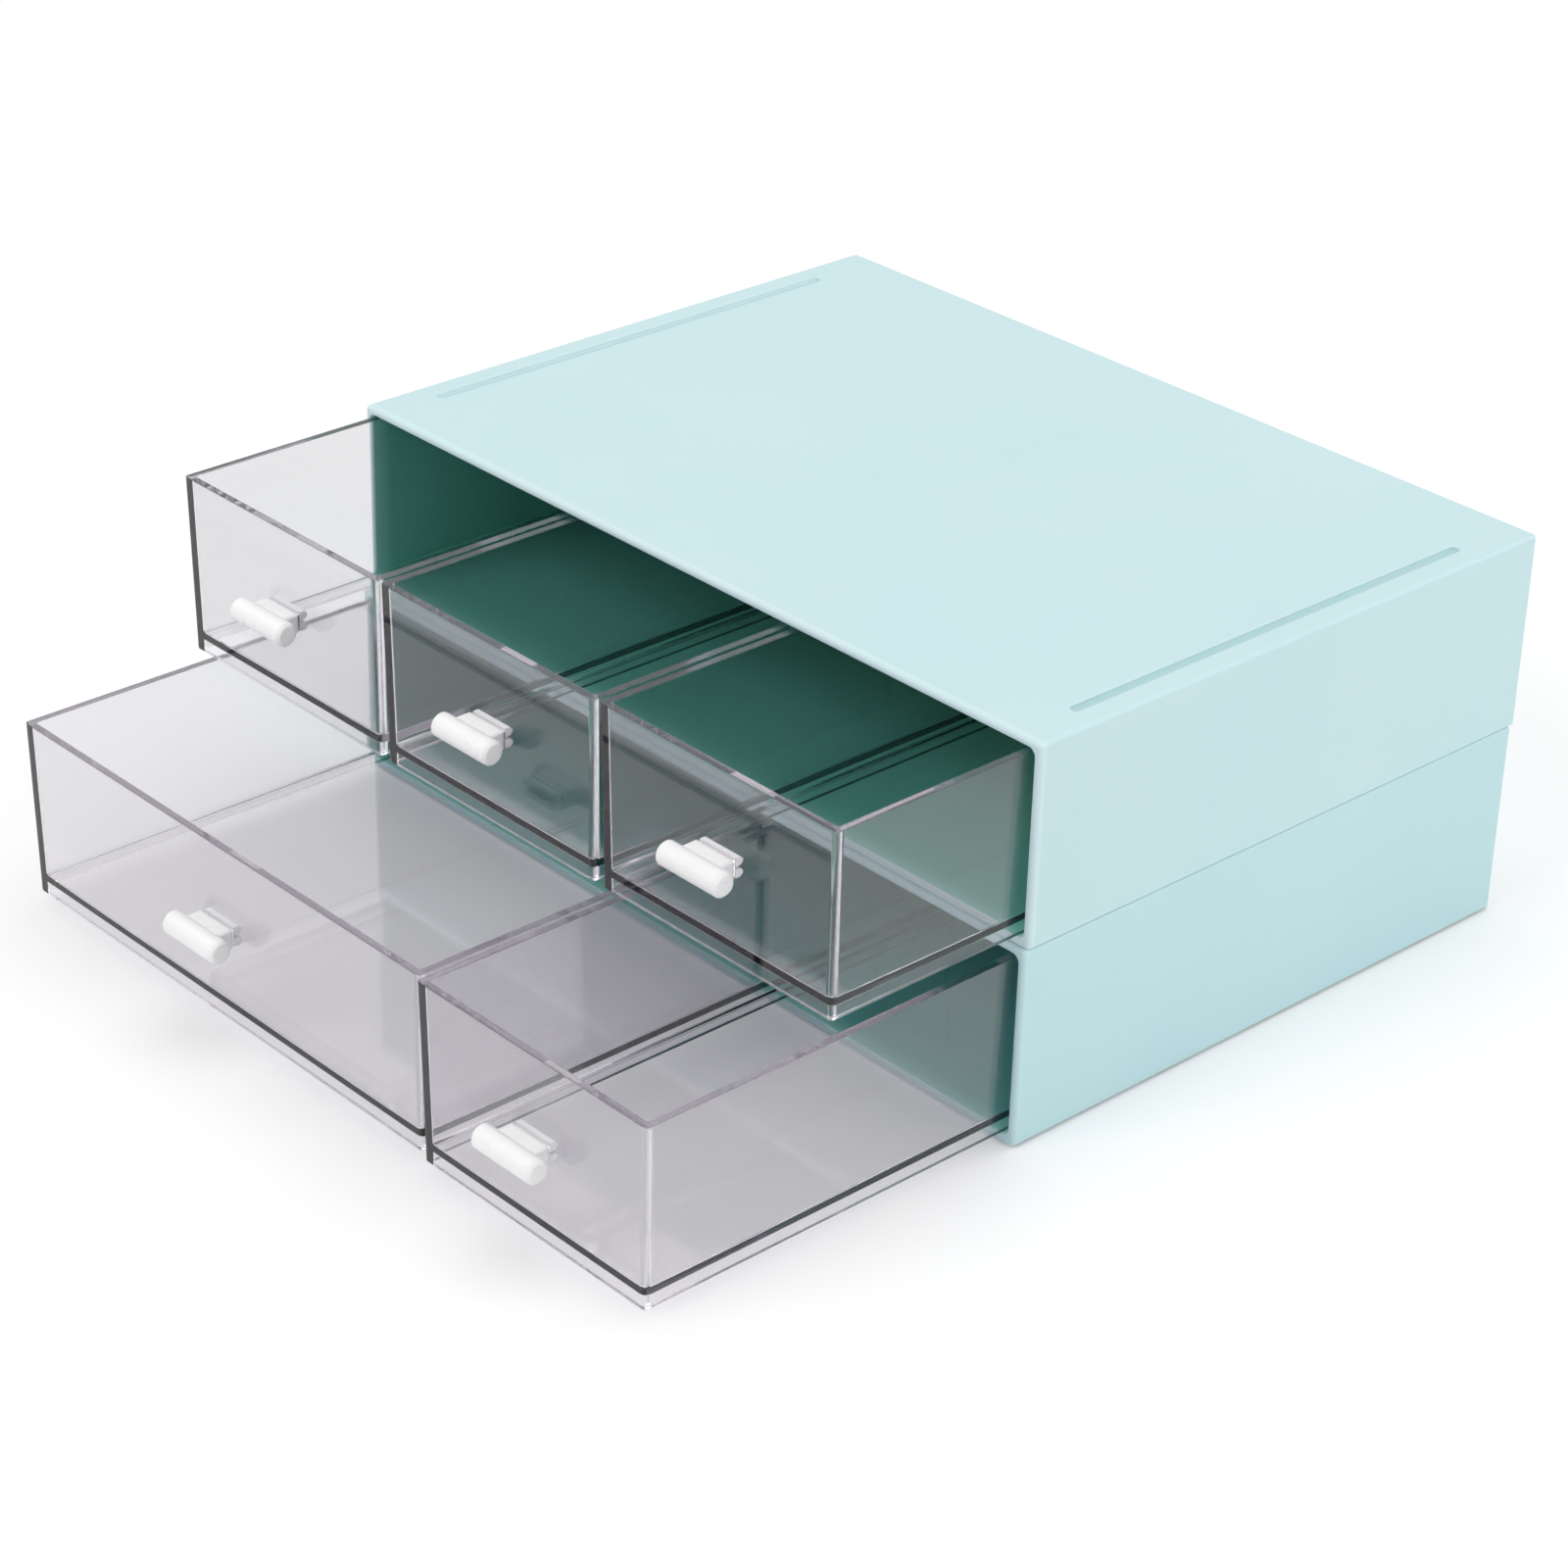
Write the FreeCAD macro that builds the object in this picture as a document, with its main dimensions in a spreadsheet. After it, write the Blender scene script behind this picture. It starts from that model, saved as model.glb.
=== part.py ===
import FreeCAD, Part
import Sketcher
import math
import os

# Two-tier desktop drawer organizer for craft stamps, markers and small tools.
#
# Two identical open-fronted casings stand one on the other, keyed by a pair of
# shallow grooves in each roof and a pair of runners under each floor.  The upper
# casing holds three single drawers, the lower one a double drawer and a single.
# Every drawer is a drafted clear tub whose handle snaps into a slot in its front.
#
# Millimetres.  X runs along the front, Y from the front to the back, Z is up.
# The origin is on the table, at the middle of the lower casing's footprint.

SIZES = {
    # casing, one moulding
    "casing_width": 254.0,
    "casing_depth": 181.0,
    "casing_height": 54.5,
    "casing_wall": 2.0,
    "casing_roof": 2.0,
    "casing_floor": 1.8,
    "casing_back": 2.0,
    "casing_corner_radius": 1.3,
    "roof_edge_radius": 1.1,
    "underside_bevel": 0.35,
    "cavity_corner_radius": 2.0,
    "opening_bevel": 0.4,
    # shallow well in the floor, which leaves a low lip across the front
    "lip_height": 0.4,
    "lip_depth": 2.4,
    "well_inset": 2.4,
    "well_bevel": 0.2,
    # stacking key: grooves in the roof, runners under the floor
    "groove_inset": 8.1,
    "groove_front_setback": 18.5,
    "groove_rear_setback": 22.5,
    "groove_width": 2.9,
    "groove_depth": 1.0,
    "groove_end_radius": 1.2,
    "groove_floor_bevel": 0.5,
    "groove_rim_bevel": 0.3,
    "runner_side_clearance": 0.3,
    "runner_end_clearance": 4.0,
    "runner_height": 0.8,
    "runner_end_radius": 1.0,
    "stack_setback": 1.2,
    # drawer tub, drafted on all four sides
    "tub_side_gap": 1.1,
    "tub_middle_gap": 1.2,
    "tub_running_gap": 0.2,
    "tub_top_gap": 0.7,
    "tub_rear_gap": 1.5,
    "tub_wall": 2.1,
    "tub_floor": 1.8,
    "tub_foot": 3.0,
    "tub_draft": 1.0,
    "tub_corner_radius": 1.1,
    "tub_inner_radius": 0.7,
    "tub_floor_bevel": 0.6,
    "foot_recess_radius": 0.7,
    # slot for the handle, centred in the tub's front wall
    "slot_width": 12.6,
    "slot_height": 4.6,
    # snap-in handle: bar, web, and a neck that splits into two catching prongs
    "bar_diameter": 6.5,
    "bar_length": 21.2,
    "bar_standoff": 6.0,
    "bar_bevel": 0.8,
    "web_width": 13.5,
    "web_height": 5.4,
    "web_bevel": 0.5,
    "neck_clearance": 0.15,
    "catch_clearance": 0.1,
    "catch_overhang": 0.4,
    "catch_bevel": 0.25,
    "prong_reach": 2.4,
    "prong_slit": 0.7,
    "slit_root": 0.6,
    "neck_root": 2.0,
    "prong_nose_bevel": 0.8,
    # how far each drawer stands open
    "pull_upper_left": 60.9,
    "pull_upper_middle": 60.8,
    "pull_upper_right": 60.4,
    "pull_lower_wide": 112.3,
    "pull_lower_narrow": 113.9,
}

# Sizes that follow from the driving ones.
OPENING_WIDTH = "(Dims.casing_width - 2 * Dims.casing_wall)"
LIP_TOP = "(Dims.casing_floor + Dims.lip_height)"
CAVITY_TOP = "(Dims.casing_height - Dims.casing_roof)"
CAVITY_DEPTH = "(Dims.casing_depth - Dims.casing_back)"
WELL_END = f"({CAVITY_DEPTH} - Dims.well_inset)"
GROOVE_X = "(Dims.casing_width / 2 - Dims.groove_inset)"
GROOVE_END = "(Dims.casing_depth - Dims.groove_rear_setback)"
RUNNER_HALF_WIDTH = "(Dims.groove_width / 2 - Dims.runner_side_clearance)"
TUB_PITCH = f"(({OPENING_WIDTH} - 2 * Dims.tub_side_gap + Dims.tub_middle_gap) / 3)"
SINGLE_WIDTH = f"({TUB_PITCH} - Dims.tub_middle_gap)"
DOUBLE_WIDTH = f"(2 * {TUB_PITCH} - Dims.tub_middle_gap)"
TUB_HEIGHT = f"({CAVITY_TOP} - {LIP_TOP} - Dims.tub_running_gap - Dims.tub_top_gap)"
TUB_LENGTH = "(Dims.casing_depth - Dims.casing_back - Dims.tub_rear_gap)"
TUB_INSET = f"({TUB_HEIGHT} * tan(Dims.tub_draft))"
TUB_FLOOR_TOP = "(Dims.tub_foot + Dims.tub_floor)"
CATCH_Y = "(Dims.tub_wall + Dims.catch_clearance)"
PRONG_NOSE = f"({CATCH_Y} + Dims.prong_reach)"
NECK = "(Dims.slot_height / 2 - Dims.neck_clearance)"
BARB = "(Dims.slot_height / 2 + Dims.catch_overhang)"
SLIT = "(Dims.prong_slit / 2)"

NEAR = 1e-3
# Sketcher's numbers for the origin, the two axes and the points of a curve
ORIGIN, X_AXIS, Y_AXIS = -1, -1, -2
START, END, CENTRE = 1, 2, 3
V = FreeCAD.Vector
# the way round a rectangle, anticlockwise from its lower left corner
COURSE = [V(1, 0, 0), V(0, 1, 0), V(-1, 0, 0), V(0, -1, 0)]
QUARTER_TURN = math.pi / 2
# signs of the left and the right half
HANDS = ("-1", "1")


class Moulding:
    """One PartDesign body, with the few feature calls that this organizer needs."""

    def __init__(self, doc, label):
        self.doc = doc
        self.value = doc.Dims.evalExpression
        self.label = label
        self.body = doc.addObject("PartDesign::Body", label)
        self.body.Label = label

    def add(self, kind, name):
        return self.body.newObject(kind, f"{self.label}_{name}")

    def place(self, x, y, z, tilt=None):
        """Bind the body's place, and its tilt about X where it has one."""
        if tilt:
            # a turn of any size sets the axis, and the expression then sets the angle
            self.body.Placement.Rotation = FreeCAD.Rotation(V(1, 0, 0), 1)
            self.body.setExpression("Placement.Rotation.Angle", tilt)
        for axis, expression in zip("xyz", (x, y, z)):
            self.body.setExpression(f"Placement.Base.{axis}", expression)

    def sketch(self, name, plane, height=None):
        """A sketch on one of the body's own origin planes, raised by height."""
        sketch = self.add("Sketcher::SketchObject", name)
        support = next(f for f in self.body.Origin.OriginFeatures if f.Role == plane)
        sketch.AttachmentSupport = [(support, "")]
        sketch.MapMode = "FlatFace"
        if height:
            sketch.setExpression("AttachmentOffset.Base.z", height)
        return sketch

    def polygon(self, sketch, points):
        """Closed outline through corners whose X and Y are expressions."""
        first = sketch.GeometryCount
        corners = [V(self.value(x), self.value(y), 0) for x, y in points]
        for start, end in zip(corners, corners[1:] + corners[:1]):
            sketch.addGeometry(Part.LineSegment(start, end), False)
        for i, (x, y) in enumerate(points):
            line, following = first + i, first + (i + 1) % len(points)
            sketch.addConstraint(Sketcher.Constraint("Coincident", line, END, following, START))
            self.hold(sketch, line, START, "X", x)
            self.hold(sketch, line, START, "Y", y)

    def hold(self, sketch, geometry, point, direction, distance):
        """Keep a point at an exact distance from the origin along X or Y."""
        if distance == "0":
            axis = Y_AXIS if direction == "X" else X_AXIS
            sketch.addConstraint(Sketcher.Constraint("PointOnObject", geometry, point, axis))
            return
        index = sketch.addConstraint(Sketcher.Constraint(
            f"Distance{direction}", ORIGIN, START, geometry, point, self.value(distance)))
        sketch.setExpression(f"Constraints[{index}]", distance)

    def rectangle(self, sketch, left, right, bottom, top, radius=None):
        """Rectangle between four expressions, with tangent corner arcs if radius is given."""
        if not radius:
            self.polygon(sketch, [(left, bottom), (right, bottom), (right, top), (left, top)])
            return
        first = sketch.GeometryCount
        inset = self.value(radius)
        corners = [V(self.value(x), self.value(y), 0)
                   for x, y in ((left, bottom), (right, bottom), (right, top), (left, top))]
        for i, along in enumerate(COURSE):
            start, end = corners[i], corners[(i + 1) % 4]
            centre = end - along * inset + COURSE[(i + 1) % 4] * inset
            sketch.addGeometry(Part.LineSegment(start + along * inset, end - along * inset), False)
            sketch.addGeometry(Part.ArcOfCircle(Part.Circle(centre, V(0, 0, 1), inset),
                                                (i - 1) * QUARTER_TURN, i * QUARTER_TURN), False)
        for i, (direction, side) in enumerate((("Y", bottom), ("X", right),
                                               ("Y", top), ("X", left))):
            line, arc, following = (first + (2 * i + step) % 8 for step in range(3))
            sketch.addConstraint(Sketcher.Constraint("Tangent", line, END, arc, START))
            sketch.addConstraint(Sketcher.Constraint("Tangent", arc, END, following, START))
            level_or_upright = "Horizontal" if direction == "Y" else "Vertical"
            sketch.addConstraint(Sketcher.Constraint(level_or_upright, line))
            self.hold(sketch, line, START, direction, side)
            index = sketch.addConstraint(Sketcher.Constraint("Radius", arc, inset))
            sketch.setExpression(f"Constraints[{index}]", radius)

    def circle(self, sketch, x, y, diameter):
        centre = V(self.value(x), self.value(y), 0)
        size = self.value(diameter)
        ring = sketch.addGeometry(Part.Circle(centre, V(0, 0, 1), size / 2), False)
        self.hold(sketch, ring, CENTRE, "X", x)
        self.hold(sketch, ring, CENTRE, "Y", y)
        index = sketch.addConstraint(Sketcher.Constraint("Diameter", ring, size))
        sketch.setExpression(f"Constraints[{index}]", diameter)

    def extrude(self, kind, name, sketch, length, reverse=False, both_ways=False, taper=None):
        feature = self.add(f"PartDesign::{kind}", name)
        feature.Profile = sketch
        feature.Reversed = reverse
        feature.Midplane = both_ways
        feature.setExpression("Length", length)
        if taper:
            feature.setExpression("TaperAngle", taper)
        self.doc.recompute()
        return feature

    def dress(self, kind, name, size_property, size, chosen):
        """Fillet or chamfer every edge of the solid so far whose box passes the test."""
        base = self.body.Tip
        edges = [f"Edge{i}" for i, edge in enumerate(base.Shape.Edges, start=1)
                 if chosen(edge.BoundBox)]
        if not edges:
            raise RuntimeError(f"{self.label}: no edge for {name}")
        feature = self.add(f"PartDesign::{kind}", name)
        feature.Base = (base, edges)
        feature.setExpression(size_property, size)
        self.doc.recompute()

    def round_edges(self, name, radius, chosen):
        self.dress("Fillet", name, "Radius", radius, chosen)

    def bevel_edges(self, name, size, chosen):
        self.dress("Chamfer", name, "Size", size, chosen)


def make_sheet(doc):
    """Write every driving size to the spreadsheet, one aliased row each."""
    sheet = doc.addObject("Spreadsheet::Sheet", "Dims")
    for row, (alias, value) in enumerate(SIZES.items(), start=1):
        sheet.set(f"A{row}", alias)
        sheet.set(f"B{row}", str(value))
        sheet.setAlias(f"B{row}", alias)
    doc.recompute()


def upright(box):
    """True for a steep edge: drafted corners lean a little, so both are allowed."""
    return box.ZLength > 2 * max(box.XLength, box.YLength)


def level(box, height):
    return abs(box.ZMin - height) < NEAR and abs(box.ZMax - height) < NEAR


def make_casing(doc, label, y, z):
    """Open-fronted box with a lipped floor, roof grooves and runners below."""
    casing = Moulding(doc, label)
    casing.place("0", y, z)
    footprint = casing.sketch("footprint", "XY_Plane")
    casing.rectangle(footprint, "-Dims.casing_width / 2", "Dims.casing_width / 2",
                     "0", "Dims.casing_depth", "Dims.casing_corner_radius")
    casing.extrude("Pad", "block", footprint, "Dims.casing_height")
    casing.round_edges("roof_edges", "Dims.roof_edge_radius",
                       lambda box: level(box, SIZES["casing_height"]))
    casing.bevel_edges("underside_edges", "Dims.underside_bevel",
                       lambda box: level(box, 0))
    cut_bay(casing)
    cut_well(casing)
    cut_grooves(casing)
    add_runners(casing)
    return casing.body


def cut_bay(casing):
    """The drawer bay, open at the front."""
    opening_side = casing.value(f"{OPENING_WIDTH} / 2")
    lip_top = casing.value(LIP_TOP)
    cavity_top = casing.value(CAVITY_TOP)
    opening = casing.sketch("opening_outline", "XZ_Plane")
    casing.rectangle(opening, f"-{OPENING_WIDTH} / 2", f"{OPENING_WIDTH} / 2",
                     LIP_TOP, CAVITY_TOP, "Dims.cavity_corner_radius")
    casing.extrude("Pocket", "cavity", opening, CAVITY_DEPTH)
    casing.bevel_edges("opening_edges", "Dims.opening_bevel",
                       lambda box: (box.YMax < NEAR
                                    and max(-box.XMin, box.XMax) < opening_side + NEAR
                                    and box.ZMin > lip_top - NEAR
                                    and box.ZMax < cavity_top + NEAR))


def cut_well(casing):
    """Shallow well in the floor of the bay, behind the front lip."""
    lip_top = casing.value(LIP_TOP)
    well_side = casing.value(f"{OPENING_WIDTH} / 2 - Dims.well_inset")
    well_end = casing.value(WELL_END)
    well = casing.sketch("well_outline", "XY_Plane", LIP_TOP)
    casing.rectangle(well, f"-{OPENING_WIDTH} / 2 + Dims.well_inset",
                     f"{OPENING_WIDTH} / 2 - Dims.well_inset",
                     "Dims.lip_depth", WELL_END)
    casing.extrude("Pocket", "well", well, "Dims.lip_height")
    casing.bevel_edges(
        "well_rim", "Dims.well_bevel",
        lambda box: (level(box, lip_top) and box.YMin > SIZES["lip_depth"] - NEAR
                     and box.YMax < well_end + NEAR
                     and max(-box.XMin, box.XMax) < well_side + NEAR))


def cut_grooves(casing):
    """Two stacking grooves in the roof, one near each side."""
    groove_floor = casing.value("Dims.casing_height - Dims.groove_depth")
    groove_end = casing.value(GROOVE_END)
    grooves = casing.sketch("groove_outlines", "XY_Plane", "Dims.casing_height")
    for hand in HANDS:
        casing.rectangle(grooves,
                         f"{hand} * {GROOVE_X} - Dims.groove_width / 2",
                         f"{hand} * {GROOVE_X} + Dims.groove_width / 2",
                         "Dims.groove_front_setback", GROOVE_END, "Dims.groove_end_radius")
    casing.extrude("Pocket", "grooves", grooves, "Dims.groove_depth")
    casing.bevel_edges("groove_floors", "Dims.groove_floor_bevel",
                       lambda box: level(box, groove_floor))
    casing.bevel_edges(
        "groove_rims", "Dims.groove_rim_bevel",
        lambda box: (level(box, SIZES["casing_height"]) and box.YMax < groove_end + NEAR
                     and box.YMin > SIZES["groove_front_setback"] - NEAR))


def add_runners(casing):
    """Two runners under the floor, which drop into the grooves of a casing below."""
    runners = casing.sketch("runner_outlines", "XY_Plane")
    for hand in HANDS:
        casing.rectangle(runners,
                         f"{hand} * {GROOVE_X} - {RUNNER_HALF_WIDTH}",
                         f"{hand} * {GROOVE_X} + {RUNNER_HALF_WIDTH}",
                         "Dims.groove_front_setback + Dims.runner_end_clearance",
                         f"{GROOVE_END} - Dims.runner_end_clearance",
                         "Dims.runner_end_radius")
    casing.extrude("Pad", "runners", runners, "Dims.runner_height", reverse=True)


def make_tub(doc, label, width, x, y, z):
    """Clear drafted tub on a perimeter foot, with the handle's slot in front."""
    tub = Moulding(doc, label)
    tub.place(x, y, z)
    floor_top = tub.value(TUB_FLOOR_TOP)

    base = tub.sketch("base_outline", "XY_Plane")
    tub.rectangle(base, f"-{width} / 2 + {TUB_INSET}", f"{width} / 2 - {TUB_INSET}",
                  TUB_INSET, f"{TUB_LENGTH} - {TUB_INSET}")
    tub.extrude("Pad", "block", base, TUB_HEIGHT, taper="Dims.tub_draft")
    tub.round_edges("corners", "Dims.tub_corner_radius", upright)

    cavity = tub.sketch("mouth_outline", "XY_Plane", TUB_HEIGHT)
    tub.rectangle(cavity, f"-{width} / 2 + Dims.tub_wall", f"{width} / 2 - Dims.tub_wall",
                  "Dims.tub_wall", f"{TUB_LENGTH} - Dims.tub_wall")
    tub.extrude("Pocket", "cavity", cavity, f"{TUB_HEIGHT} - {TUB_FLOOR_TOP}",
                taper="-Dims.tub_draft")
    tub.round_edges("cavity_corners", "Dims.tub_inner_radius",
                    lambda box: upright(box) and abs(box.ZMin - floor_top) < NEAR)
    tub.bevel_edges("cavity_floor", "Dims.tub_floor_bevel",
                    lambda box: level(box, floor_top))

    recess = tub.sketch("foot_outline", "XY_Plane")
    tub.rectangle(recess, f"-{width} / 2 + {TUB_INSET} + Dims.tub_wall",
                  f"{width} / 2 - {TUB_INSET} - Dims.tub_wall",
                  f"{TUB_INSET} + Dims.tub_wall",
                  f"{TUB_LENGTH} - {TUB_INSET} - Dims.tub_wall", "Dims.foot_recess_radius")
    tub.extrude("Pocket", "foot_recess", recess, "Dims.tub_foot", reverse=True)

    slot = tub.sketch("slot_outline", "XZ_Plane")
    tub.rectangle(slot, "-Dims.slot_width / 2", "Dims.slot_width / 2",
                  f"{TUB_HEIGHT} / 2 - Dims.slot_height / 2",
                  f"{TUB_HEIGHT} / 2 + Dims.slot_height / 2")
    tub.extrude("Pocket", "slot", slot, f"Dims.tub_wall + {TUB_INSET}")
    return tub.body


def make_handle(doc, label, x, y, z):
    """Round bar on a web, with a split neck that snaps through the slot."""
    handle = Moulding(doc, label)
    handle.place(x, y, z, tilt="Dims.tub_draft")
    nose = handle.value(PRONG_NOSE)
    catch = handle.value(CATCH_Y)
    barb = handle.value(BARB)

    section = handle.sketch("bar_outline", "YZ_Plane")
    handle.circle(section, "-Dims.bar_standoff", "0", "Dims.bar_diameter")
    handle.extrude("Pad", "bar", section, "Dims.bar_length", both_ways=True)
    handle.bevel_edges("bar_ends", "Dims.bar_bevel",
                       lambda box: box.XLength < NEAR and box.ZLength > NEAR)

    web = handle.sketch("web_outline", "XZ_Plane")
    handle.rectangle(web, "-Dims.web_width / 2", "Dims.web_width / 2",
                     "-Dims.web_height / 2", "Dims.web_height / 2")
    handle.extrude("Pad", "web", web, "Dims.bar_standoff")
    handle.bevel_edges(
        "web_edges", "Dims.web_bevel",
        lambda box: box.XLength < NEAR and box.ZLength < NEAR and abs(box.YMax) < NEAR)

    profile = handle.sketch("snap_profile", "YZ_Plane")
    upper_half = [("-Dims.neck_root", NECK), (CATCH_Y, NECK), (CATCH_Y, BARB),
                  (PRONG_NOSE, BARB), (PRONG_NOSE, SLIT), ("Dims.slit_root", SLIT)]
    lower_half = [(y, f"-{z}") for y, z in reversed(upper_half)]
    handle.polygon(profile, upper_half + lower_half)
    handle.extrude("Pad", "snap", profile, "Dims.slot_width - 2 * Dims.neck_clearance",
                   both_ways=True)
    handle.bevel_edges("prong_noses", "Dims.prong_nose_bevel",
                       lambda box: abs(box.YMin - nose) < NEAR and box.ZLength < NEAR)
    handle.bevel_edges(
        "catch_edges", "Dims.catch_bevel",
        lambda box: (abs(box.YMax - catch) < NEAR and box.ZLength < NEAR
                     and abs(abs(box.ZMin) - barb) < NEAR))
    return handle.body


# name: (tier, width, centre along the front)
DRAWERS = {
    "upper_left": ("upper", SINGLE_WIDTH, f"-{TUB_PITCH}"),
    "upper_middle": ("upper", SINGLE_WIDTH, "0"),
    "upper_right": ("upper", SINGLE_WIDTH, TUB_PITCH),
    "lower_wide": ("lower", DOUBLE_WIDTH, f"-{TUB_PITCH} / 2"),
    "lower_narrow": ("lower", SINGLE_WIDTH, TUB_PITCH),
}
# tier: (front of its casing, underside of its casing)
TIERS = {
    "lower": ("-Dims.casing_depth / 2", "Dims.runner_height"),
    "upper": ("Dims.stack_setback - Dims.casing_depth / 2",
              "(Dims.runner_height + Dims.casing_height)"),
}


def build(doc):
    make_sheet(doc)
    bodies = [make_casing(doc, f"{tier}_casing", y, z) for tier, (y, z) in TIERS.items()]
    for name, (tier, width, x) in DRAWERS.items():
        front, underside = TIERS[tier]
        y = f"{front} - Dims.pull_{name}"
        z = f"{underside} + {LIP_TOP} + Dims.tub_running_gap"
        bodies.append(make_tub(doc, f"drawer_{name}", width, x, y, z))
        bodies.append(make_handle(doc, f"handle_{name}", x, f"{y} + {TUB_INSET} / 2",
                                  f"{z} + {TUB_HEIGHT} / 2"))
    doc.recompute()
    return bodies


def check(doc, bodies):
    """Stop with a plain message if any object failed or any solid is unsound."""
    for item in doc.Objects:
        if any(word in item.State for word in ("Invalid", "Error")):
            raise RuntimeError(f"{item.Label} did not compute: {item.State}")
    for body in bodies:
        shape = body.Shape
        if shape.isNull() or not shape.isValid() or len(shape.Solids) != 1:
            raise RuntimeError(f"{body.Label} is not one valid solid")


def export(bodies):
    os.makedirs("parts", exist_ok=True)
    for body in bodies:
        body.Shape.exportStep(f"parts/{body.Label}.step")


document = FreeCAD.newDocument("stamp_storage_drawers")
parts = build(document)
check(document, parts)
export(parts)
for part in parts:
    box = part.Shape.optimalBoundingBox()
    print(f"{part.Label}: {box.XLength:.1f} x {box.YLength:.1f} x {box.ZLength:.1f} mm, "
          f"{part.Shape.Volume / 1000:.1f} cm3")
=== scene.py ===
import math

import bpy
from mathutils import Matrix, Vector


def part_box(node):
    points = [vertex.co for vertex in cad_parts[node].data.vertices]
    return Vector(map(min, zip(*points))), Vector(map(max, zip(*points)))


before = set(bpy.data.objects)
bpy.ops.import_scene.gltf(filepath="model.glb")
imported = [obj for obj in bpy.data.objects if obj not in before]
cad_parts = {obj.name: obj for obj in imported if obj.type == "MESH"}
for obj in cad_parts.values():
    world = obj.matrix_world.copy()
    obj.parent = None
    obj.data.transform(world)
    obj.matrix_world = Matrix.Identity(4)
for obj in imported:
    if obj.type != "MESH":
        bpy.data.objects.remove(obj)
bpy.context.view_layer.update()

# A two-tier drawer organizer: two satin aqua casings, five clear drawers and their white
# handles, on a white table under five softboxes.
#
# Metres and watts.  X runs along the front, Y from the front to the back, Z is up.

# ---------------------------------------------------------------- camera
LENS_MM = 93.09
SENSOR_MM = 36.0
CLIP_NEAR, CLIP_FAR = 0.01, 50.0
CAMERA_AT = (0.68450, -0.69169, 0.53978)
CAMERA_TURN_DEGREES = (61.635, -1.476, 47.655)

# ---------------------------------------------------------------- casing measures
WALL = 0.0020  # sides, back and roof
FLOOR = 0.0018
RUNNER_HEIGHT = 0.0008
LIP_DEPTH = 0.0024
GROOVE_DEPTH = 0.0010
GROOVE_FRONT_SETBACK, GROOVE_REAR_SETBACK = 0.0185, 0.0225

# How far a mask reaches past the faces that it covers.
BAY_SLACK = 0.0005
BAY_FLOOR_SLACK = 0.0008
GROOVE_DEPTH_SLACK = 0.0002
GROOVE_END_SLACK = 0.0010
# How far behind the casing's front the bay's mask starts.
MOUTH_SETBACK = 0.0002
# The last stretch of the lip's depth, over which its mask fades out.
LIP_FADE = 0.0006
# The painted groove shade's two edges, in from the casing's side.  The outer one stops inside
# the groove's outer flank, which keeps the painted edge highlight.
GROOVE_SHADE_INSETS = (0.0120, 0.0073)
# Depths below the roof between which the painted groove shade comes in.
GROOVE_SHADE_FADE = (0.0001, 0.0005)
# Cosines of the normal's turn between which a rounded edge's mask comes in.
EDGE_TURN = (0.99, 0.85)

# Radii that edges seem rounded to: a casing's for the painted edge highlight, then each
# plastic's.
HIGHLIGHT_EDGE_RADIUS = 0.0008
CASING_EDGE_RADIUS = 0.00025
TUB_EDGE_RADIUS = 0.00045
HANDLE_EDGE_RADIUS = 0.0007

# ---------------------------------------------------------------- colours
# A pair is the darkest and palest of the mottling.  The edge colour is the painted edge and lip
# highlight, the bay colour the painted shade inside.
CASING_COLOURS = {
    # The lower casing's colours are painted a shade darker than the upper's, and its edge colour
    # is barely paler than its shell.
    "lower_casing": {
        "shell": ((0.440, 0.640, 0.672, 1), (0.458, 0.655, 0.686, 1)),
        "edge": (0.480, 0.665, 0.692, 1),
        "bay": ((0.190, 0.600, 0.545, 1), (0.210, 0.620, 0.565, 1)),
    },
    "upper_casing": {
        "shell": ((0.478, 0.655, 0.682, 1), (0.498, 0.671, 0.696, 1)),
        "edge": (0.610, 0.745, 0.765, 1),
        "bay": ((0.190, 0.650, 0.510, 1), (0.210, 0.675, 0.530, 1)),
    },
}
# Painted glow just inside the casing's mouth.
MOUTH_PAINTED_GLOW = (0.400, 0.900, 0.770, 1)
# Painted shade in the roof grooves.
GROOVE_SHADE_COLOUR = (0.395, 0.590, 0.615, 1)
# How much of the painted highlight colour a rounded edge and the lip take.
EDGE_HIGHLIGHT_SHARE, LIP_HIGHLIGHT_SHARE = 0.7, 0.5
# The stretches behind the mouth over which the bay's painted shade comes in and the mouth's
# painted glow goes.
BAY_SHADE_FADE, MOUTH_GLOW_FADE = 0.0006, 0.006

TUB_TINT = (0.912, 0.905, 0.918, 1)
TUB_SHADOW_TINT = (0.915, 0.910, 0.920, 1)
TUB_SMOKE, TUB_SMOKE_DENSITY = (0.44, 0.38, 0.46, 1), 25.0
HANDLE_WHITES = ((0.835, 0.835, 0.830, 1), (0.865, 0.865, 0.861, 1))
# Where most of a noise's values lie.
NOISE_RANGE = (0.3, 0.7)

# ---------------------------------------------------------------- studio measures
FLOOR_HALF_SIDE = 4.0
FLOOR_COLOUR = (0.86, 0.86, 0.86, 1)
# Light that the floor shows but doesn't cast on the object's matt faces.
FLOOR_GLOW = 0.09
# Distances from the origin between which the floor goes over to the white background.
FLOOR_FADE = (0.38, 0.80)
WHITE = 1.0
DOME_STRENGTH = 0.38

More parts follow.
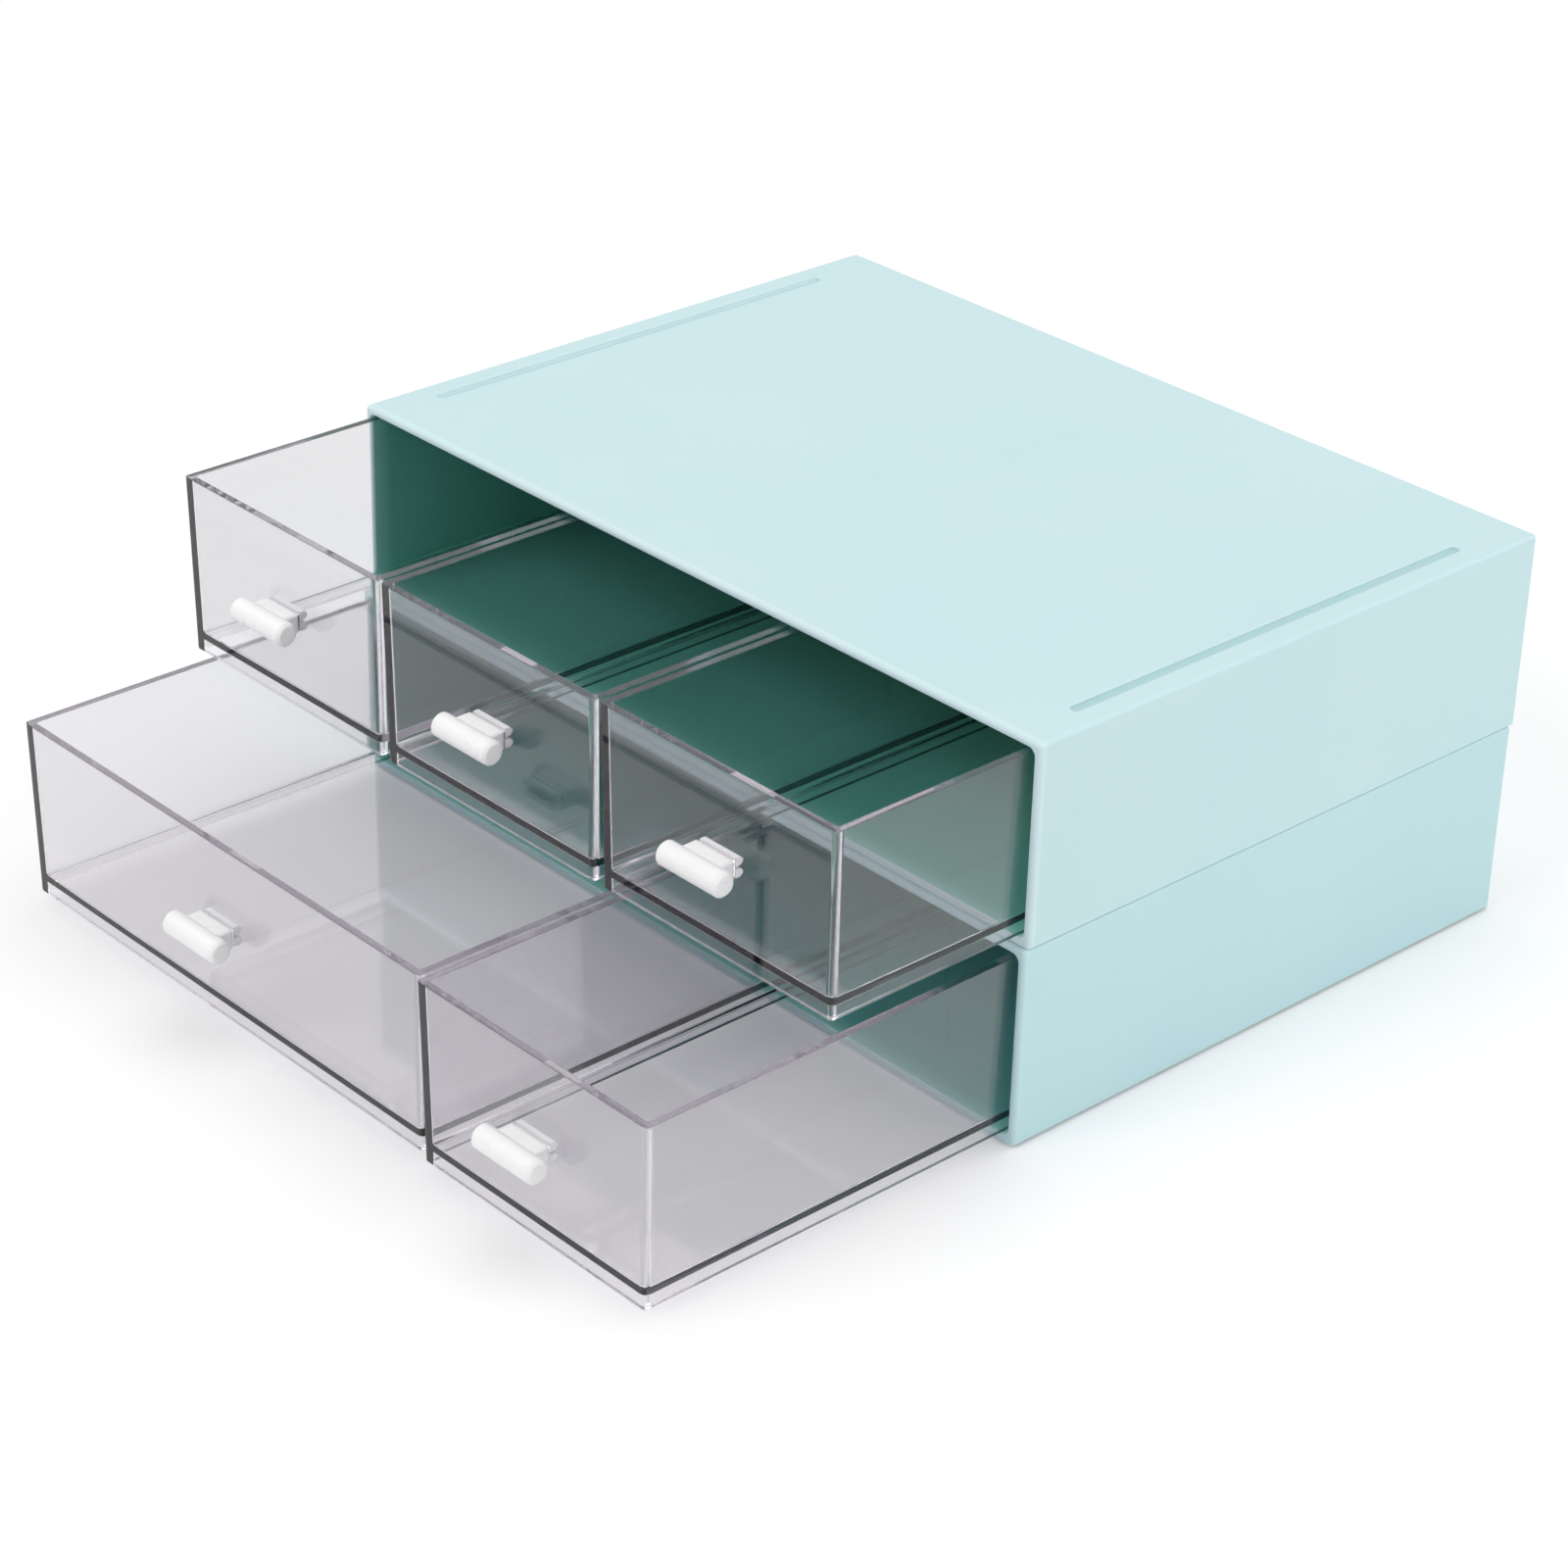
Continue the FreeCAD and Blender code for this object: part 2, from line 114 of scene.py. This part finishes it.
# name: (place, point aimed at, width and height, power)
SOFTBOXES = {
    "overhead_softbox": ((0.0, 0.3, 1.7), (0, 0, 0), (1.6, 1.6), 13.0),
    "right_softbox": ((1.7, 0.4, 0.6), (0, 0, 0.05), (1.4, 1.0), 13.5),
    "front_softbox": ((-0.25, -1.5, 1.15), (0, -0.1, 0.05), (1.2, 1.0), 14.0),
    "left_softbox": ((-1.7, -0.2, 0.8), (0, 0, 0.05), (1.2, 1.0), 5.5),
    "back_softbox": ((0.5, 1.8, 0.7), (0, 0, 0.05), (1.2, 0.8), 7.0),
}

# A look along a clear wall reflects many times inside it before it comes out.
CLEAR_BOUNCES = 28
SEE_THROUGH_BOUNCES = 64


def make_camera():
    data = bpy.data.cameras.new("camera")
    data.lens = LENS_MM
    data.sensor_width = SENSOR_MM
    data.clip_start, data.clip_end = CLIP_NEAR, CLIP_FAR
    camera = bpy.data.objects.new("camera", data)
    camera.location = CAMERA_AT
    camera.rotation_euler = [math.radians(a) for a in CAMERA_TURN_DEGREES]
    bpy.context.scene.collection.objects.link(camera)
    bpy.context.scene.camera = camera


# ---------------------------------------------------------------- node helpers
class Tree:
    """Builds one node tree: add() makes a node, fills its sockets and returns it."""

    # Sockets of a colour Mix node, which has others of the same names.
    MIX_FACTOR, MIX_A, MIX_B, MIX_RESULT = 0, 6, 7, 2

    def __init__(self, tree):
        self.tree = tree
        tree.nodes.clear()

    def add(self, kind, settings=None, **sockets):
        node = self.tree.nodes.new(kind)
        for name, value in (settings or {}).items():
            setattr(node, name, value)
        for name, value in sockets.items():
            self.feed(node.inputs[name.replace("_", " ")], value)
        return node

    def feed(self, socket, value):
        if isinstance(value, bpy.types.NodeSocket):
            self.tree.links.new(value, socket)
        else:
            socket.default_value = value

    def math(self, operation, a, b=0.0):
        node = self.add("ShaderNodeMath", {"operation": operation})
        self.feed(node.inputs[0], a)
        self.feed(node.inputs[1], b)
        return node.outputs[0]

    def between(self, value, low, high):
        """1 where the value lies between the two, 0 elsewhere."""
        return self.math("MULTIPLY", self.math("GREATER_THAN", value, low),
                         self.math("LESS_THAN", value, high))

    def span(self, value, source, target=(0.0, 1.0)):
        """Maps the value from the source range to the target range, clamped."""
        node = self.add("ShaderNodeMapRange", {"clamp": True}, Value=value,
                        From_Min=source[0], From_Max=source[1],
                        To_Min=target[0], To_Max=target[1])
        return node.outputs["Result"]

    def vector_math(self, operation, *vectors):
        node = self.add("ShaderNodeVectorMath", {"operation": operation})
        for socket, vector in zip(node.inputs, vectors):
            self.feed(socket, vector)
        return node.outputs["Value"]

    def place(self):
        """The point on the surface, in the object's own coordinates, as it lies at rest."""
        return self.add("ShaderNodeTexCoord").outputs["Object"]

    def axes(self, where):
        return self.add("ShaderNodeSeparateXYZ", Vector=where).outputs

    def noise(self, where, scale, detail=3.0, roughness=0.5):
        node = self.add("ShaderNodeTexNoise", Vector=where, Scale=scale, Detail=detail,
                        Roughness=roughness)
        return node.outputs[0]

    def blend(self, factor, a, b):
        node = self.add("ShaderNodeMix", {"data_type": "RGBA"})
        self.feed(node.inputs[self.MIX_FACTOR], factor)
        self.feed(node.inputs[self.MIX_A], a)
        self.feed(node.inputs[self.MIX_B], b)
        return node.outputs[self.MIX_RESULT]

    def mix_shaders(self, factor, a, b):
        node = self.add("ShaderNodeMixShader")
        for socket, value in zip(node.inputs, (factor, a, b)):
            self.feed(socket, value)
        return node.outputs[0]

    def rounded(self, radius):
        """The surface's normal as if its edges were rounded to this radius."""
        return self.add("ShaderNodeBevel", {"samples": 4}, Radius=radius).outputs["Normal"]

    def bump(self, height, strength, distance, normal):
        node = self.add("ShaderNodeBump", Height=height, Strength=strength, Distance=distance,
                        Normal=normal)
        return node.outputs["Normal"]


def new_material(name):
    material = bpy.data.materials.new(name)
    material.use_nodes = True
    return material, Tree(material.node_tree)


# ---------------------------------------------------------------- casing masks
class Casing:
    """Where a casing's faces, bay and roof grooves lie, from its box in the frame."""

    def __init__(self, node):
        low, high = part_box(node)
        self.front, self.back, self.roof = low.y, high.y, high.z
        self.half_width = high.x
        self.bay_half_width = high.x - WALL
        self.bay_back = high.y - WALL
        self.bay_floor = low.z + RUNNER_HEIGHT + FLOOR
        self.bay_ceiling = high.z - WALL


def in_the_bay(t, where, casing, fade):
    """1 on the bay's own walls, coming in over a stretch behind the mouth; it places the bay's
    painted shade and the mouth's painted glow.
    """
    axes = t.axes(where)
    sideways = t.math("ABSOLUTE", axes["X"])
    across = t.math("LESS_THAN", sideways, casing.bay_half_width + BAY_SLACK)
    start = casing.front + MOUTH_SETBACK
    behind = t.span(axes["Y"], (start, start + fade))
    inside = t.math("LESS_THAN", axes["Y"], casing.bay_back + BAY_SLACK)
    level = t.between(axes["Z"], casing.bay_floor - BAY_FLOOR_SLACK,
                      casing.bay_ceiling + BAY_SLACK)
    return t.math("MULTIPLY", t.math("MULTIPLY", across, level),
                  t.math("MULTIPLY", behind, inside))


def on_the_lip(t, where, casing):
    """1 on the band round the casing's mouth, 0 behind it; it places the painted lip highlight.
    """
    depth = t.math("SUBTRACT", t.axes(where)["Y"], casing.front)
    return t.span(depth, (LIP_DEPTH, LIP_DEPTH - LIP_FADE))


def in_a_groove(t, where, casing):
    """1 in the two roof grooves, apart from their outer flanks; it places the painted groove
    shade.
    """
    axes = t.axes(where)
    inner, outer = [casing.half_width - inset for inset in GROOVE_SHADE_INSETS]
    across = t.between(t.math("ABSOLUTE", axes["X"]), inner, outer)
    along = t.between(axes["Y"], casing.front + GROOVE_FRONT_SETBACK - GROOVE_END_SLACK,
                      casing.back - GROOVE_REAR_SETBACK + GROOVE_END_SLACK)
    sunk = t.span(axes["Z"], [casing.roof - depth for depth in GROOVE_SHADE_FADE])
    shallow = t.math("GREATER_THAN", axes["Z"],
                     casing.roof - GROOVE_DEPTH - GROOVE_DEPTH_SLACK)
    return t.math("MULTIPLY", t.math("MULTIPLY", across, along),
                  t.math("MULTIPLY", sunk, shallow))


def on_an_edge(t):
    """1 where a rounded edge turns well away from the flat face, 0 on the face; it places the
    painted edge highlight.
    """
    face = t.add("ShaderNodeNewGeometry").outputs["True Normal"]
    return t.span(t.vector_math("DOT_PRODUCT", t.rounded(HIGHLIGHT_EDGE_RADIUS), face), EDGE_TURN)


# ---------------------------------------------------------------- materials
def casing_colour(t, where, casing, colours):
    """Mottled shell, with painted highlights on rounded edges and the lip, painted shade in the
    grooves, and a green bay of painted shade with a painted glow behind the mouth.
    """
    mottle = t.span(t.noise(where, scale=14.0, detail=4.0, roughness=0.55), NOISE_RANGE)
    # Painted shade: the grooves turn darker.
    groove_shade = in_a_groove(t, where, casing)
    # Painted highlight: rounded edges and the lip's band turn paler, apart from inside the
    # grooves.
    painted_highlight = t.math("MAXIMUM", t.math("MULTIPLY", on_an_edge(t), EDGE_HIGHLIGHT_SHARE),
                  t.math("MULTIPLY", on_the_lip(t, where, casing), LIP_HIGHLIGHT_SHARE))
    painted_highlight = t.math("MULTIPLY", painted_highlight, t.math("SUBTRACT", 1.0, groove_shade))
    shell = t.blend(mottle, *colours["shell"])
    shell = t.blend(painted_highlight, shell, colours["edge"])
    shell = t.blend(groove_shade, shell, GROOVE_SHADE_COLOUR)
    # Painted shade inside the bay, with a painted glow just behind the mouth.
    bay = t.blend(mottle, *colours["bay"])
    bay = t.blend(in_the_bay(t, where, casing, MOUTH_GLOW_FADE), MOUTH_PAINTED_GLOW, bay)
    return t.blend(in_the_bay(t, where, casing, BAY_SHADE_FADE), shell, bay)


def casing_material(node):
    """Satin aqua plastic with flow mottling, fine orange peel, painted highlights on its edges,
    and painted shade in its grooves and bay.
    """
    material, t = new_material(node + "_aqua_plastic")
    where = t.place()
    colour = casing_colour(t, where, Casing(node), CASING_COLOURS[node])
    haze = t.noise(where, scale=40.0, detail=5.0, roughness=0.6)
    peel = t.noise(where, scale=260.0, detail=2.0)
    grain = t.noise(where, scale=900.0, detail=2.0)
    normal = t.bump(peel, strength=0.05, distance=0.0003, normal=t.rounded(CASING_EDGE_RADIUS))
    normal = t.bump(grain, strength=0.04, distance=0.0001, normal=normal)
    shader = t.add("ShaderNodeBsdfPrincipled", Base_Color=colour, Normal=normal, IOR=1.52,
                   Roughness=t.span(haze, NOISE_RANGE, (0.36, 0.46)))
    t.add("ShaderNodeOutputMaterial", Surface=shader.outputs[0])
    return material


def tub_material():
    """Clear plastic with a faint smoke tint, which deepens along an edge."""
    material, t = new_material("tub_clear_plastic")
    where = t.place()
    wave = t.noise(where, scale=30.0, detail=2.0)
    haze = t.noise(where, scale=120.0, detail=4.0, roughness=0.6)
    normal = t.bump(wave, strength=0.015, distance=0.0004, normal=t.rounded(TUB_EDGE_RADIUS))
    glass = t.add("ShaderNodeBsdfPrincipled", Base_Color=TUB_TINT, Normal=normal, IOR=1.57,
                  Roughness=t.span(haze, (0.35, 0.75), (0.012, 0.035)),
                  Transmission_Weight=1.0)
    # Shadows and bounced light pass straight through, so the table under a drawer is lit.
    lets_by = t.add("ShaderNodeBsdfTransparent", Color=TUB_SHADOW_TINT)
    ray = t.add("ShaderNodeLightPath").outputs
    past = t.math("MAXIMUM", ray["Is Shadow Ray"], ray["Is Diffuse Ray"])
    smoke = t.add("ShaderNodeVolumeAbsorption", Color=TUB_SMOKE, Density=TUB_SMOKE_DENSITY)
    t.add("ShaderNodeOutputMaterial", Volume=smoke.outputs[0],
          Surface=t.mix_shaders(past, glass.outputs[0], lets_by.outputs[0]))
    return material


def handle_material():
    """White gloss plastic with a trace of moulding haze."""
    material, t = new_material("handle_white_plastic")
    where = t.place()
    mottle = t.span(t.noise(where, scale=90.0), NOISE_RANGE)
    haze = t.noise(where, scale=250.0)
    grain = t.noise(where, scale=500.0, detail=2.0)
    normal = t.bump(grain, strength=0.05, distance=0.0001, normal=t.rounded(HANDLE_EDGE_RADIUS))
    shader = t.add("ShaderNodeBsdfPrincipled", Base_Color=t.blend(mottle, *HANDLE_WHITES),
                   Roughness=t.span(haze, NOISE_RANGE, (0.26, 0.36)), Normal=normal, IOR=1.5)
    t.add("ShaderNodeOutputMaterial", Surface=shader.outputs[0])
    return material


def dress_nodes():
    """Gives each CAD node its material, found by the start of the node's name."""
    looks = {
        "lower_casing": casing_material("lower_casing"),
        "upper_casing": casing_material("upper_casing"),
        "drawer": tub_material(),
        "handle": handle_material(),
    }
    for name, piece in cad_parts.items():
        kind = next(k for k in looks if name.startswith(k))
        for material_slot in piece.material_slots:
            material_slot.material = looks[kind]


# ---------------------------------------------------------------- studio
def seen_white(t):
    """1 for a ray that shows the background: from the camera, a reflection or through glass."""
    ray = t.add("ShaderNodeLightPath").outputs
    seen = t.math("MAXIMUM", ray["Is Camera Ray"], ray["Is Glossy Ray"])
    return t.math("MAXIMUM", seen, ray["Is Transmission Ray"])


def floor_material():
    """Matt white that keeps shadows near the object and goes over to plain white further out."""
    material, t = new_material("floor_white")
    seen = seen_white(t)
    matt = t.add("ShaderNodeBsdfDiffuse", Color=FLOOR_COLOUR)
    glow = t.add("ShaderNodeEmission", Strength=t.math("MULTIPLY", seen, FLOOR_GLOW))
    near = t.add("ShaderNodeAddShader")
    t.feed(near.inputs[0], matt.outputs[0])
    t.feed(near.inputs[1], glow.outputs[0])
    far = t.add("ShaderNodeEmission", Strength=WHITE)
    away = t.span(t.vector_math("LENGTH", t.place()), FLOOR_FADE)
    surface = t.mix_shaders(t.math("MULTIPLY", seen, away), near.outputs[0], far.outputs[0])
    t.add("ShaderNodeOutputMaterial", Surface=surface)
    return material


def make_floor():
    mesh = bpy.data.meshes.new("floor")
    side = FLOOR_HALF_SIDE
    corners = [(-side, -side, 0), (side, -side, 0), (side, side, 0), (-side, side, 0)]
    mesh.from_pydata(corners, [], [(0, 1, 2, 3)])
    mesh.materials.append(floor_material())
    floor = bpy.data.objects.new("floor", mesh)
    bpy.context.scene.collection.objects.link(floor)


def make_world():
    world = bpy.data.worlds.new("studio")
    bpy.context.scene.world = world
    world.use_nodes = True
    t = Tree(world.node_tree)
    strength = t.span(seen_white(t), (0.0, 1.0), (DOME_STRENGTH, WHITE))
    sky = t.add("ShaderNodeBackground", Color=(1, 1, 1, 1), Strength=strength)
    t.add("ShaderNodeOutputWorld", Surface=sky.outputs[0])


def make_softbox(name, at, towards, size, power):
    data = bpy.data.lights.new(name, "AREA")
    data.shape = "RECTANGLE"
    data.size, data.size_y = size
    data.energy = power
    lamp = bpy.data.objects.new(name, data)
    lamp.location = at
    lamp.rotation_euler = (Vector(towards) - Vector(at)).to_track_quat("-Z", "Y").to_euler()
    bpy.context.scene.collection.objects.link(lamp)


def make_studio():
    make_floor()
    make_world()
    for name, (at, towards, size, power) in SOFTBOXES.items():
        make_softbox(name, at, towards, size, power)


# ---------------------------------------------------------------- assembly
scene = bpy.context.scene
scene.view_settings.view_transform = "Standard"
scene.cycles.max_bounces = CLEAR_BOUNCES
scene.cycles.transmission_bounces = CLEAR_BOUNCES
scene.cycles.glossy_bounces = CLEAR_BOUNCES
scene.cycles.transparent_max_bounces = SEE_THROUGH_BOUNCES

make_camera()
dress_nodes()
make_studio()
